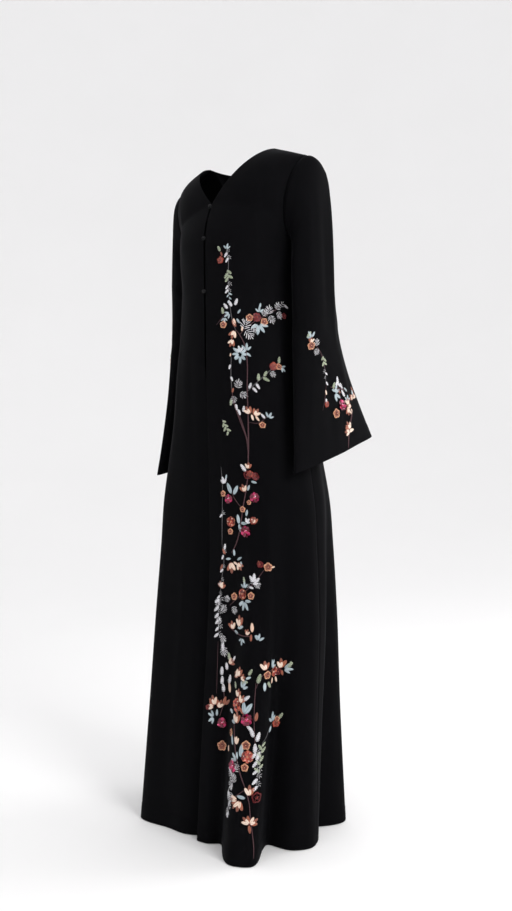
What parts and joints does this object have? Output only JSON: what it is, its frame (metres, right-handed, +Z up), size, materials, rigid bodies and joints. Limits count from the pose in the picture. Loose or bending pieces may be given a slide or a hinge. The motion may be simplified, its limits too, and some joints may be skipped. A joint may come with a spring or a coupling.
{
  "type": "abaya cloak",
  "caption": "Full-length black crepe abaya cloak, open down the front with button-and-loop fastenings, V neck, flared skirt folds and slanting bell sleeves, standing hollow as worn.",
  "frame": {"origin": "midway between the points where the two shoulder seams meet the neckline, which is where the wearer's shoulders hold the robe", "axes": "+Z up along the robe's length, -Y the way the robe faces, +X towards the wearer's left"},
  "size_m": [0.4544, 0.3993, 1.4542],
  "materials": {
    "crepe": "matte black crepe",
    "rouleau_cord": "black rouleau cord",
    "covered_button": "ball button covered in black crepe"
  },
  "bodies": {
    "root": {"front_left": "crepe", "front_right": "crepe", "back": "crepe", "sleeve_left": "crepe", "sleeve_right": "crepe", "button_top": "covered_button", "button_chest": "covered_button", "button_waist": "covered_button", "loop_top": "rouleau_cord", "loop_chest": "rouleau_cord", "loop_waist": "rouleau_cord"}
  },
  "joints": []
}
